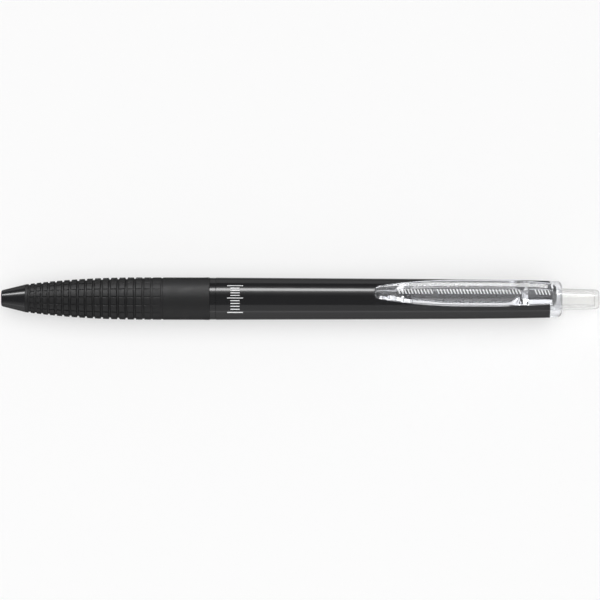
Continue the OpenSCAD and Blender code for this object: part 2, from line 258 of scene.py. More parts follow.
def make_mesh(name: str, *skins: Skin, crease: float = CREASE) -> Piece:
    """Puts skins into one mesh object with its doubles merged and its creases kept crisp.

    Args:
        name: the object's name.
        skins: the closed skins that make up the piece.
        crease: the angle in degrees past which an edge is drawn sharp.

    Returns:
        The object, linked to the scene.
    """
    starts = np.cumsum([0] + [len(k.points) for k in skins[:-1]])
    points = np.concatenate([k.points for k in skins])
    faces = np.concatenate([k.faces + n for k, n in zip(skins, starts)])
    mesh = bpy.data.meshes.new(name)
    mesh.from_pydata(points.tolist(), [], faces.tolist())
    shell = bmesh.new()
    shell.from_mesh(mesh)
    bmesh.ops.remove_doubles(shell, verts=shell.verts, dist=3e-8)
    shell.to_mesh(mesh)
    shell.free()
    smooth(mesh, crease)
    piece = bpy.data.objects.new(name, mesh)
    bpy.context.scene.collection.objects.link(piece)
    return piece


def settle(piece: Piece, finish: "Finish", body: Body, slot: Slot, *nodes: str) -> Piece:
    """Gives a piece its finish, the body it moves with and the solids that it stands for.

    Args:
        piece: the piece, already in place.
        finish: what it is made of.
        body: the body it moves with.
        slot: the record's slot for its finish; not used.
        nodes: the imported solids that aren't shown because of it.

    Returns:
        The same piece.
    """
    piece.data.materials.clear()
    piece.data.materials.append(finish.material())
    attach(piece, body.value)
    if nodes:
        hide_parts(*nodes)
    log.info("%s: %d faces, on %s", piece.name, len(piece.data.polygons), body.value)
    return piece


def turn_piece(name: str, rows: list, steps: int = 96) -> Piece:
    """A solid of revolution: every point of a section carried round the pen's axis.

    Args:
        name: the piece's name.
        rows: the section's stretches, along the outside towards the button and back through the
            bore; it is a closed loop, unless it starts on the axis and ends there.
        steps: points in a full turn.

    Returns:
        The piece.
    """
    line = rounded(np.concatenate([np.atleast_2d(part) for part in rows]))
    a = np.linspace(0, FULL_TURN, steps, endpoint=False)
    return make_mesh(name, grid_skin(place(line[:, :1], line[:, 1:], a), line[0, 1] > 0))


# ---- finishes


def linear(code: str) -> Colour:
    """A written colour as linear light.

    Args:
        code: the colour, such as #1A1B1D.

    Returns:
        Its red, green, blue and 1.
    """
    raw = [int(code[i : i + 2], 16) / 255 for i in (1, 3, 5)]
    r, g, b = (c / 12.92 if c <= 0.04045 else ((c + 0.055) / 1.055) ** 2.4 for c in raw)
    return (r, g, b, 1.0)


class Nodes:
    """A node tree in the making, for a material or a world."""

    def __init__(self, owner: bpy.types.Material | bpy.types.World) -> None:
        """Starts with an empty tree.

        Args:
            owner: the material or world that the tree belongs to.
        """
        owner.use_nodes = True
        self.tree = owner.node_tree
        self.tree.nodes.clear()

    def add(self, kind: str, inputs: dict | None = None, **settings: str) -> bpy.types.Node:
        """Adds a node, sets it, and links or sets its inputs.

        Args:
            kind: Blender's name for the node, without its first word.
            inputs: for each input, another node's output to link or the value to set.
            settings: the node's own settings.

        Returns:
            The node.
        """
        made = self.tree.nodes.new("ShaderNode" + kind)
        for name, value in settings.items():
            setattr(made, name, value)
        for key, value in (inputs or {}).items():
            if isinstance(value, Socket):
                self.tree.links.new(value, made.inputs[key])
            else:
                made.inputs[key].default_value = value
        return made

    def noise(self, where: Socket, size_mm: float, detail: float) -> Socket:
        """Soft noise with patches of that size."""
        inputs = {"Vector": where, "Scale": 1000 / size_mm, "Detail": detail}
        return self.add("TexNoise", inputs).outputs[0]

    def remap(self, value: Socket, old: Span, new: Span, **settings: str) -> Socket:
        """A value carried from one range to another."""
        ends = {"From Min": old[0], "From Max": old[1], "To Min": new[0], "To Max": new[1]}
        return self.add("MapRange", {"Value": value, **ends}, **settings).outputs[0]

    def towards_rim(self, turned_away: Span, values: Span) -> Socket:
        """A value that changes as the surface turns away, from 0, face on, to 1, edge on."""
        away = self.add("LayerWeight", {"Blend": 0.5}).outputs["Facing"]
        return self.remap(away, turned_away, values)

    def mix(self, share: Socket, first: Socket | Colour, second: Socket | Colour) -> Socket:
        """Two colours mixed by a share."""
        return self.add("Mix", {0: share, 6: first, 7: second}, data_type="RGBA").outputs[2]

    def mix_shader(self, share: Socket, first: Socket, second: Socket) -> Socket:
        """Two shaders mixed by a share."""
        return self.add("MixShader", {0: share, 1: first, 2: second}).outputs[0]

    def bump(self, height: Socket, depth_mm: float, under: Socket | None) -> Socket:
        """A bump of that depth, on top of another if there is one."""
        inputs = {"Height": height, "Distance": depth_mm / 1000, "Strength": 1.0}
        return self.add("Bump", inputs | ({} if under is None else {"Normal": under})).outputs[0]


@dataclass(frozen=True)
class Finish:
    """A finish as one Principled surface with grain, uneven gloss and light wear.

    haze_mm is the size of the patches where gloss and tone differ by their spreads; grain_mm is
    the size and depth of the moulded grain and rubs_mm the spacing and depth of the fine rubs
    along the pen; the edge shade is how much painted shade darkens clear plastic's colour towards
    a dark grey at its rims, as the surface turns edge on; rim_gloss is the share of its mirror
    gloss that black plastic keeps at its rims. Metals have no ior of their own.
    """

    name: str
    colour: str
    roughness: float
    roughness_spread: float = 0.05
    colour_spread: float = 0.06
    metallic: float = 0.0
    ior: float | None = 1.5
    transmission: float = 0.0
    painted_edge_shade: float = 0.0
    rim_gloss: float = 1.0
    sheen: float = 0.0
    subsurface: float = 0.0
    haze_mm: float = 4.0
    grain_mm: Span = (0.25, 0.0)
    rubs_mm: Span = (0.35, 0.0)

    def material(self) -> bpy.types.Material:
        """The finish as a Blender material, made once and shared by its pieces.

        Returns:
            The material.
        """
        made = bpy.data.materials.get(self.name)
        if made is None:
            made = bpy.data.materials.new(self.name)
            nodes = Nodes(made)
            shader = self.through(nodes, self.surface(nodes))
            nodes.add("OutputMaterial", {"Surface": shader})
        return made

    def surface(self, nodes: Nodes) -> Socket:
        """The Principled shader with its patterns: one haze moves both its gloss and its tone.

        Args:
            nodes: the material's node tree.

        Returns:
            The shader's output.
        """
        where = nodes.add("TexCoord").outputs["Object"]
        haze = nodes.noise(where, self.haze_mm, 4.0)
        rough, spread, differs = self.roughness, self.roughness_spread, self.colour_spread
        plain = linear(self.colour)[:3]
        dark, light = (
            tuple(min(1.0, c * k) for c in plain) + (1.0,) for k in (1 - differs, 1 + differs)
        )
        colour = nodes.mix(haze, dark, light)
        # Painted shade: a clear finish's colour darkens towards a dark grey where its surface turns
        # edge on.
        if self.painted_edge_shade:
            rim = nodes.towards_rim((0.45, 0.9), (0.0, self.painted_edge_shade))
            colour = nodes.mix(rim, colour, linear("#2A2B2E"))
        inputs = {
            "Base Color": colour,
            "Roughness": nodes.remap(haze, (0.3, 0.7), (max(0.0, rough - spread), rough + spread)),
            "Metallic": self.metallic,
            "Transmission Weight": self.transmission,
            "Sheen Weight": self.sheen,
            "Subsurface Weight": self.subsurface,
        }
        if self.ior is not None:
            inputs["IOR"] = self.ior
        if self.rim_gloss < 1:
            level = nodes.towards_rim((0.2, 0.6), (0.5, 0.5 * self.rim_gloss))
            inputs["Specular IOR Level"] = level
        relief = self.relief(nodes, where)
        if relief is not None:
            inputs["Normal"] = relief
        return nodes.add("BsdfPrincipled", inputs).outputs[0]

    def relief(self, nodes: Nodes, where: Socket) -> Socket | None:
        """The moulded grain and the fine rubs along the pen, as bump.

        Args:
            nodes: the material's node tree.
            where: the coordinates the patterns read.

        Returns:
            The normal, if the finish has either.
        """
        normal = None
        (grain, grain_depth), (rubs, rubs_depth) = self.grain_mm, self.rubs_mm
        if grain_depth:
            normal = nodes.bump(nodes.noise(where, grain, 2.0), grain_depth, None)
        if rubs_depth:
            drawn = nodes.add("Mapping", {"Vector": where, "Scale": (0.06, 1.0, 1.0)}).outputs[0]
            normal = nodes.bump(nodes.noise(drawn, rubs, 3.0), rubs_depth, normal)
        return normal

    def through(self, nodes: Nodes, surface: Socket) -> Socket:
        """Lets lamps shine through a clear finish, so that what lies under it is lit.

        Args:
            nodes: the material's node tree.
            surface: the finish's own shader.

        Returns:
            The shader to show.
        """
        if self.transmission < 0.5:
            return surface
        tint = tuple(c**0.5 for c in linear(self.colour)[:3]) + (1.0,)
        passed = nodes.add("BsdfTransparent", {"Color": tint}).outputs[0]
        shadow = nodes.add("LightPath").outputs["Is Shadow Ray"]
        return nodes.mix_shader(shadow, surface, passed)


# Black ABS from a polished mould: a deep black under a sharp, hard gloss with faint rubs.
BLACK_ABS = Finish(
    "black_abs_polished_moulded", "#151517", 0.14, 0.03, ior=1.53, rim_gloss=0.04, haze_mm=6.0,
    rubs_mm=(0.5, 0.0006),
)

# Soft silicone rubber from a blasted mould: a dull charcoal that spreads light widely.
# Its real grain is near 0.05 mm; it is drawn at 0.2 mm so that it shows.
CUSHION_RUBBER = Finish(
    "black_silicone_rubber_matte", "#19191A", 0.55, 0.06, ior=1.4, rim_gloss=0.1, sheen=0.012,
    haze_mm=3.0, grain_mm=(0.2, 0.006),
)

# Clear moulded styrene copolymer: water clear with a cold cast and a trace of milkiness; painted
# shade darkens its rims.
CLEAR_STYRENE = Finish(
    "clear_styrene_moulded", "#F3F4F7", 0.025, 0.015, colour_spread=0.01, ior=1.55,
    transmission=0.985, painted_edge_shade=0.6, haze_mm=5.0, rubs_mm=(0.4, 0.00004),
)

# Frosted polypropylene for the button: milky, clear enough to show its bore; painted shade darkens
# its rims.
FROSTED_BUTTON = Finish(
    "frosted_polypropylene_moulded", "#F1F1F0", 0.1, 0.04, colour_spread=0.01, ior=1.49,
    transmission=0.85, painted_edge_shade=0.95, haze_mm=3.0, rubs_mm=(0.3, 0.0006),
)

# White acetal: an opaque, waxy white for the cam parts that slide on each other.
WHITE_ACETAL = Finish(
    "white_acetal_moulded", "#DCDDDD", 0.36, colour_spread=0.02, ior=1.48, subsurface=0.05,
    haze_mm=2.0, grain_mm=(0.3, 0.002),
)

# Drawn stainless wire: bright, with fine die lines along the wire.
SPRING_WIRE = Finish(
    "stainless_wire_drawn", "#B8B9BB", 0.28, metallic=1.0, ior=None, haze_mm=1.0,
    grain_mm=(0.12, 0.0008),
)

# Extruded polypropylene tube: cloudy and waxy, so that the ink behind it reads as a soft black.
REFILL_TUBE = Finish(
    "polypropylene_tube_extruded", "#E6E8EA", 0.22, colour_spread=0.02, ior=1.49,
    transmission=0.75, haze_mm=3.0, rubs_mm=(0.3, 0.0008),
)

# Turned nickel silver: a warm pale metal with fine rings from the lathe.
NICKEL_SILVER = Finish(
    "nickel_silver_turned", "#BDB4A2", 0.24, metallic=1.0, ior=None, haze_mm=1.0,
    grain_mm=(0.08, 0.0006),
)

# Ground tungsten carbide: a dark grey metal ball with an even satin gleam.
CARBIDE = Finish(
    "tungsten_carbide_ground", "#8A8B8F", 0.3, metallic=1.0, ior=None, haze_mm=0.3,
    grain_mm=(0.05, 0.0004),
)

# Black gel ink: wet and nearly black, with a faint violet cast.
GEL_INK = Finish(
    "black_gel_ink_wet", "#0B0B10", 0.08, 0.04, ior=1.38, haze_mm=2.0,
)

# Clear grease that follows the ink: pale amber and wet, cloudy with tiny bubbles.
FOLLOWER_GREASE = Finish(
    "ink_follower_grease", "#E3DCC4", 0.18, ior=1.46, transmission=0.6, haze_mm=1.0,
    grain_mm=(0.3, 0.004),
)

# White pad-printing ink: a thin, even, slightly chalky white film.
WHITE_PRINT = Finish(
    "white_pad_print_ink", "#F2F3F4", 0.42, colour_spread=0.02, haze_mm=0.6,
    grain_mm=(0.15, 0.001),
)


# ---- the pen


@dataclass
class FrontBarrel:
    """The black carrier: its nose shows, the cushion sits on it and its spigot is screwed in."""

    nose_len: float = 5.76
    nose_r: float = 3.348
    grip_end: float = 50.0
    collar_end: float = 51.48
    collar_r: float = 5.03
    spigot_r: float = 4.1
    body_r: float = 5.076
    swell_end: float = 34.0
    cushion_t: float = 0.85
    cushion_thin: float = 0.22
    seat: float = 12.0

    def grip_r(self, s: Array) -> Array:
        """The cushion's radius: full behind the swell, and falling by a power of 2.15 before it."""
        t = np.clip((s - self.nose_len) / (self.swell_end - self.nose_len), 0, 1)
        return self.body_r - (self.body_r - self.nose_r) * (1 - t) ** 2.15

    def carrier_r(self, s: Array) -> Array:
        """The carrier's radius under the cushion: a cushion less, and a little more at the nose."""
        near = np.clip((self.seat - s) / (self.seat - self.nose_len), 0, 1)
        return self.grip_r(s) - self.cushion_t + self.cushion_thin * near**2

    def thread(self, base: float, crest: float, first: float) -> Array:
        """Six closed thread ridges in section: each climbs from base to crest and back."""
        s = first + 1.2 * np.arange(6)[:, None] + np.array([-0.27, -0.055, 0.055, 0.27])
        return curve(s.ravel(), np.tile([base, crest, crest, base], 6))

    def build(self) -> Piece:
        """Turns the carrier from its section: the nose, the seat of the cushion and the spigot.

        Returns:
            The piece.
        """
        s = np.linspace(self.nose_len, self.swell_end, 24)
        base, base_r, bore_r = self.collar_end, self.spigot_r, 3.25
        rows = [
            [[0, 1.25, 0.08], [0, 1.76, 0.06], [0.22, 1.96, 0.08], [0.66, 2.08, 0.15]],
            [self.nose_len, self.nose_r, 0.05],
            curve(s, self.carrier_r(s)),
            [self.grip_end, self.body_r - self.cushion_t, 0],
            [[self.grip_end, self.collar_r, 0.06], [base, self.collar_r, 0.1], [base, base_r, 0]],
            self.thread(base_r, 4.36, 52.44),
            [[59.9, base_r, 0], [60.2, 3.8, 0], [60.2, bore_r, 0.1], [24, bore_r, 0], [24, 2.6, 0]],
            [[self.seat, 2.6, 0], [self.seat, 1.9, 0.1], [3.7, 1.9, 0], [2.2, 1.25, 0]],
        ]
        piece = turn_piece("front_barrel_shell", rows, 160)
        return settle(piece, BLACK_ABS, Body.BARREL, Slot.BARREL, "front_barrel")


@dataclass
class CushionGrip:
    """The rubber sleeve with its ring grooves, its lengthwise grooves and its rear bead."""

    carrier: FrontBarrel
    ring_count: int = 18
    ring_first: float = 6.77
    ring_pitch: float = 2.13
    pitch_drop: float = 0.67
    pitch_rings: float = 7.5
    last_gap: float = 0.42
    ring_depth: float = 0.38
    ring_half: float = 0.33
    ring_wall: float = 0.17
    front_share: float = 0.62
    front_run: float = 32.0
    fade: float = 30.0
    fade_run: float = 9.5
    rear_share: float = 0.34
    long_count: int = 16
    long_depth: float = 0.2
    long_half: float = 0.2
    long_wall: float = 0.09
    long_turn: float = math.radians(8.3)
    long_past: Span = (0.35, 1.2)
    bead_h: float = 0.041
    bead_w: float = 1.7
    fit: float = 0.02

    def ring_middles(self) -> Array:
        """Middles of the ring grooves: the spacing grows to the rear, and most at the last.

        Returns:
            Their distances from the mouth.
        """
        i = np.arange(self.ring_count - 1)
        gaps = self.ring_pitch - self.pitch_drop * np.exp(-i / self.pitch_rings)
        gaps[-1] += self.last_gap
        return self.ring_first + np.concatenate([[0.0], np.cumsum(gaps)])

    def ring_depths(self, s: Array) -> Array:
        """Depth of a ring groove at s: shallow at both ends of the pattern.

        Args:
            s: distances from the mouth.

        Returns:
            The depths.
        """
        start = np.minimum(1, self.front_share + (s - self.ring_first) / self.front_run)
        end = np.clip(1 - (s - self.fade) / self.fade_run, self.rear_share, 1)
        return self.ring_depth * start * end

    def surface(self, s: Array, a: Array) -> Array:
        """Radius of the outside: the swell plus the bead, less the deeper of the two grooves.

        A ring groove falls to its floor over a short wall on each side. A lengthwise groove
        is even in width, so it is told by its distance across, the radius times the sine of
        the angle from its middle, and it fades out towards the rear.

        Args:
            s: distances from the mouth.
            a: angles round the axis.

        Returns:
            The radii.
        """
        skin = self.carrier.grip_r(s)
        end = self.carrier.grip_end
        bead = np.interp(s, [end - self.bead_w, end - 0.3, end], [0, self.bead_h, 0])
        middles = self.ring_middles()
        gap = np.min(np.abs(s[..., None] - middles), -1)
        ring = self.ring_depths(s) * rise(self.ring_half - gap, self.ring_wall)
        start, fade = self.ring_first + self.long_past[0], middles[-1] + self.long_past[1]
        t = np.clip((s - start) / (fade - start), 0, 1)
        reach = rise(s - start + 0.1, 0.12) * (1 - t**5)
        across = np.abs(skin * np.sin(off_middle(a, self.long_count, self.long_turn)))
        groove = self.long_depth * reach * rise(self.long_half - across, self.long_wall)
        return skin + bead - np.maximum(ring, groove)

    def rows(self) -> Array:
        """Distances along the outside: close together at each groove wall, wide on the lands.

        Returns:
            The distances in order.
        """
        half = np.array([0.06, 0.16, 0.22, 0.28, 0.34, 0.4])
        middles = self.ring_middles()
        grooves = [(middles[:, None] + side * half).ravel() for side in (-1, 1)]
        lands = (middles[1:] + middles[:-1]) / 2
        front = [5.80, 5.86, 5.95, 6.1]
        rear = [39.35, 39.6, 40.2, 41.2, 43, 45, 47, 48.1, 48.4, 49, 49.4, 49.6, 49.74, 49.86]
        return np.unique(np.concatenate([*grooves, lands, front, rear]))

    def columns(self) -> Array:
        """Angles round the grip: close together at each lengthwise groove.

        Returns:
            The angles in order.
        """
        half = np.radians([0.8, 1.5, 2.0, 2.5, 3.1, 4.1, 6.6, 9.0])
        one = np.concatenate([-half[::-1], [0.0], half, [math.radians(11.25)]])
        starts = self.long_turn + FULL_TURN / self.long_count * np.arange(self.long_count)
        return (starts[:, None] + one).ravel()

    def build(self) -> Piece:
        """Wraps one closed skin: the grooved outside, the rear end, the bore and the front.

        Returns:
            The piece.
        """
        carrier, s, a = self.carrier, self.rows()[:, None], self.columns()[None]
        outer = place(s, self.surface(s + 0 * a, a + 0 * s), a)
        end, front = carrier.grip_end, carrier.nose_len
        back = carrier.body_r - carrier.cushion_t + self.fit
        bore = np.linspace(carrier.swell_end, front, 20)
        rear = [[end - 0.06, 5.08], [end - 0.01, 5.05], [end, 4.99]]
        rear += [[end, back + 0.05], [end, back]]
        seat = np.stack([bore, carrier.carrier_r(bore) + self.fit], -1)
        line = np.concatenate([rear, seat, [[front, 3.2], [front, 3.3], [front + 0.01, 3.33]]])
        skin = np.concatenate([outer, place(line[:, :1], line[:, 1:], a)])
        piece = make_mesh("cushion_grip", grid_skin(skin, loop_rows=True), crease=55)
        return settle(piece, CUSHION_RUBBER, Body.BARREL, Slot.GRIP, "rubber_grip")


@dataclass
class RearBarrel:
    """The long gloss barrel, screwed on the carrier and closed by the clip's ring."""

    carrier: FrontBarrel
    start: float = 51.48
    end: float = 131.5
    front_r: float = 5.076
    rear_r: float = 4.436
    bore_r: float = 3.85
    socket_r: float = 4.4
    socket_end: float = 60.5

    def radius(self, s: Array) -> Array:
        """The barrel's radius: part of its taper is even and part comes late, by a power of six."""
        t = np.clip((s - self.start) / (self.end - self.start), 0, 1)
        return self.front_r - (self.front_r - self.rear_r) * (0.5625 * t + 0.4375 * t**6)

    def build(self) -> Piece:
        """Turns the barrel with the socket that matches the carrier's thread.

        Returns:
            The piece.
        """
        s = np.linspace(self.start, self.end, 40)[1:-1]
        rows = [
            [[self.start, self.socket_r, 0], [self.start, self.front_r, 0.1]],
            curve(s, self.radius(s)),
            [[self.end, self.rear_r, 0.08], [self.end, self.bore_r, 0.08]],
            [[self.socket_end, self.bore_r, 0], [self.socket_end, self.socket_r, 0]],
            self.carrier.thread(self.socket_r, 4.16, 53.04)[::-1],
        ]
        piece = turn_piece("rear_barrel_shell", rows, 192)
        return settle(piece, BLACK_ABS, Body.BARREL, Slot.BARREL, "rear_barrel")


@dataclass
class ClipCap:
    """The clear pocket clip and the ring it grows from, moulded as one piece.

    Its hollows are the slot ahead of the bump, the trough under its swell, which narrows to a
    point from taper on, and the window in the root. under_r is the radius of its underside and
    of the foot of its sides.
    """

    barrel: RearBarrel
    tip: float = 89.3
    tip_half: float = 1.65
    half: float = 3.18
    wide: float = 110.5
    narrow: float = 119.0
    narrow_run: float = 12.0
    narrow_by: float = 0.55
    end: float = 132.9
    end_half: float = 1.3
    end_round: float = 1.4
    end_turn: float = 0.3
    wall: float = 0.6
    slot: Span = (91.4, 94.8)
    bump: float = 96.2
    bump_end: float = 98.4
    trough: Span = (98.0, 124.4)
    taper: float = 121.5
    window: Span = (126.2, 131.2)
    between: Span = (96.5, 125.3)
    halves: Span = (0.5, 1.02)
    ceilings: tuple[float, float, float] = (7.1, 7.2, 6.7)
    seat: float = 131.5
    ring_end: float = 134.42
    dome_r: float = 1.3
    point_half: float = 0.35
    edge: float = 0.3
    chamfer: float = 1.2
    slope: float = 0.81
    under_r: float = 6.1
    root_r: float = 4.596
    seat_r: float = 4.6

    def profile(self, s: Array, *rows: list) -> Array:
        """Height at s of a rounded line in profile, given by its rows."""
        line = rounded(np.concatenate(rows))
        return np.interp(s, line[:, 0], line[:, 1])

    def top_r(self, s: Array) -> Array:
        """Height of the clip's ridge line at s, which is also its radius round the axis.

        Args:
            s: distances from the mouth.

        Returns:
            The heights.
        """
        return self.profile(
            s,
            [[self.tip, 7.0, 0], [89.6, 7.6, 0.25], [90.8, 7.98, 0.5], [96.3, 8.1, 2.0]],
            [[109.3, 8.1, 4.0], [120.3, 8.0, 3.0], [126.9, 7.75, 2.0], [130.6, 7.3, 1.0]],
            [[132.0, 6.75, 0.5], [self.end, 5.9, 0]],
        )

    def under_line(self, s: Array) -> Array:
        """Radius of the clip's underside at s, with the bump that holds a pocket's edge.

        Args:
            s: distances from the mouth.

        Returns:
            The radii.
        """
        low = float(self.barrel.radius(np.array(self.bump))) + 0.06
        return self.profile(
            s,
            [[self.tip, 7.0, 0], [90.9, 6.4, 0.3], [93.9, low + 0.8, 0.8], [self.bump, low, 0.5]],
            [[97.3, low + 0.4, 0.3], [self.bump_end, self.under_r, 0.3]],
            [[self.trough[1], self.under_r, 0.1], [126.0, self.root_r, 0.1]],
            [[131.53, self.root_r, 0], [131.531, 3.45, 0], [self.end, 3.45, 0]],
        )

    def outline(self, s: Array) -> Array:
        """Half the clip's width: a half circle at the tip, a swell, an even stretch and a taper.

        The rear end is drawn in on a small radius.

        Args:
            s: distances from the mouth.

        Returns:
            The half widths.
        """
        c = self.tip + self.tip_half
        tip = np.sqrt(np.clip(self.tip_half**2 - (c - s) ** 2, 1e-8, None))
        t = np.clip((s - c) / (self.wide - c), 0, 1)
        swell = self.tip_half + (self.half - self.tip_half) * (1 - (1 - t) ** 2)
        back = np.clip((s - self.narrow) / self.narrow_run, 0, None)
        taper = self.half - self.narrow_by * back**1.3
        c_end = self.end - self.end_round
        arc = np.sqrt(np.clip(self.end_round**2 - np.clip(s - c_end, 0, None) ** 2, 0, None))
        parts = [s < c, s < self.narrow, s < c_end]
        return np.select(parts, [tip, swell, taper], self.end_half + arc)

    def hollow(self, s: Array) -> tuple[Array, Array, Array]:
        """The hollows under the clip.

        Args:
            s: distances from the mouth.

        Returns:
            Their half width, the height of their ceiling, and 1 where there is one, else 0.
        """
        (first, middle, last), (ahead, behind) = self.ceilings, self.between
        ceiling = np.select([s < ahead, s < behind], [first, middle], last)
        inside, end = self.outline(s) - self.wall, self.trough[1]
        point = np.interp(s, [self.taper, end], [self.half - self.chamfer, self.point_half])
        parts = [s < ahead, s < self.taper, s < end + 0.01]
        half = np.select(parts, [self.halves[0], inside, point], self.halves[1])
        spans = self.slot, self.trough, self.window
        there = sum(((s > first) & (s < last)).astype(float) for first, last in spans)
        return np.minimum(half, self.outline(s) * 0.8), ceiling, there

    def stations(self) -> Array:
        """Distances along the clip where its section is taken, doubled at each hollow's ends.

        Returns:
            The distances in order.
        """
        tip = self.tip + self.tip_half * (1 - np.cos(np.linspace(0.06, np.pi / 2, 14)))
        walls = np.array([*self.slot, *self.trough, *self.window])
        close = np.concatenate([walls - 0.012, walls + 0.012])
        fine = np.arange(90.98, 98.9, 0.16)
        long = np.arange(99.2, 124.0, 0.62)
        root = np.arange(124.0, self.seat, 0.2)
        seat = [131.515, 131.545, 131.7, 132.0, 132.3, 132.55]
        turn = self.end_turn * np.sin(np.linspace(0, np.pi / 2 - 0.02, 6))
        end = self.end - self.end_turn + turn
        return np.unique(np.concatenate([tip, close, fine, long, root, seat, end]))

    def section(self) -> Array:
        """The arm as rings of points: across, w, and over the axis, h, at each station.

        The top and the underside are parts of circles round the pen's axis, h^2 = R^2 - w^2.
        The upper and lower edges are bridged by parabolas, and the hollow is a flat ceiling
        with upright walls. Ahead of the bump's end the sides stop at a foot, and the bump
        narrows below them.

        Returns:
            The points in metres, rings by points by x y z.
        """
        s = self.stations()[:, None]
        off_end = np.clip(s - self.end + self.end_turn, 0, None)
        turn_in = self.end_turn - np.sqrt(np.clip(self.end_turn**2 - off_end**2, 0, None))
        b, top = self.outline(s) - turn_in, self.top_r(s) - turn_in
        under = self.under_line(s)
        half, ceiling, there = self.hollow(s)
        tall = arc_h(top, b) - arc_h(under, b)
        e = np.minimum(self.edge, 0.42 * np.minimum(b, np.maximum(tall, 0.02)))
        e = np.maximum(e, 0.002)
        rear = (s > self.taper) & (s < self.seat)
        q = np.clip(np.where(rear, b - half, np.minimum(self.chamfer, 0.6 * b)), 0.001, 0.86 * b)
        half = np.minimum(half, b - q - 0.001)
        over = (b - e) * np.linspace(-1, 1, 19)[None]
        roof = half * np.linspace(1, -1, 11)[None]
        walled = (there > 0) & (s >= self.bump_end)
        foot = np.where(s < self.bump_end, np.maximum(under, self.under_r), under)
        seat = np.maximum(arc_h(under, b), arc_h(self.seat_r, b - q))
        lip = np.where(walled, seat, arc_h(foot, b - q))
        brow = arc_h(top, b) - e
        sill = np.minimum(lip + self.slope * q, brow - 0.12 * tall)
        t = np.linspace(0, 1, 5)[None, 1:-1]
        round_w, round_h = bridge(t, b - e, b, b), bridge(t, arc_h(top, b - e), arc_h(top, b), brow)
        inner = np.where(walled, lip, arc_h(under, half))
        w_r = np.concatenate([round_w, b, b, b, b - q, half], 1)
        h_r = np.concatenate([round_h, brow, (brow + sill) / 2, sill, lip, inner], 1)
        roof_h = (1 - there) * arc_h(under, roof) + there * np.maximum(ceiling, arc_h(under, roof))
        w = np.concatenate([over, w_r, roof, -w_r[:, ::-1]], 1)
        h = np.concatenate([arc_h(top, over), h_r, roof_h, h_r[:, ::-1]], 1)
        s = np.broadcast_to(s, w.shape)
        return np.stack([s - PEN_LEN / 2, -w, AXIS_HEIGHT + h], -1) / 1000

    def ring(self) -> Piece:
        """The ring and its plug in the barrel: a domed collar with the button's guide bore.

        Returns:
            The piece.
        """
        a = np.radians(np.linspace(0, 90, 11))
        shoulder, back = self.ring_end - self.dome_r, self.seat - 0.5
        rows = [
            [[124, 3.3, 0.1], [124, 3.83, 0.15], [self.seat, 3.83, 0], [self.seat, 4.436, 0.07]],
            curve(shoulder + self.dome_r * np.sin(a), 3.136 + self.dome_r * np.cos(a)),
            [[self.ring_end, 2.87, 0.05], [134.27, 2.72, 0.08], [back, 2.72, 0.05], [back, 3.3, 0]],
        ]
        return turn_piece("clip_and_ring", rows, 160)

    def build(self) -> Piece:
        """Joins the arm and the ring into one solid, so that light meets no wall between them.

        Returns:
            The piece.
        """
        arm = make_mesh("clip_arm", capped(self.section()))
        piece = self.ring()
        union = piece.modifiers.new("union", "BOOLEAN")
        union.operation, union.solver, union.object = "UNION", "EXACT", arm
        seen = piece.evaluated_get(bpy.context.evaluated_depsgraph_get())
        joined = bpy.data.meshes.new_from_object(seen)
        piece.modifiers.clear()
        piece.data = joined
        smooth(joined, 30)
        bpy.data.objects.remove(arm)
        return settle(piece, CLEAR_STYRENE, Body.BARREL, Slot.CLEAR, "clip_cap")


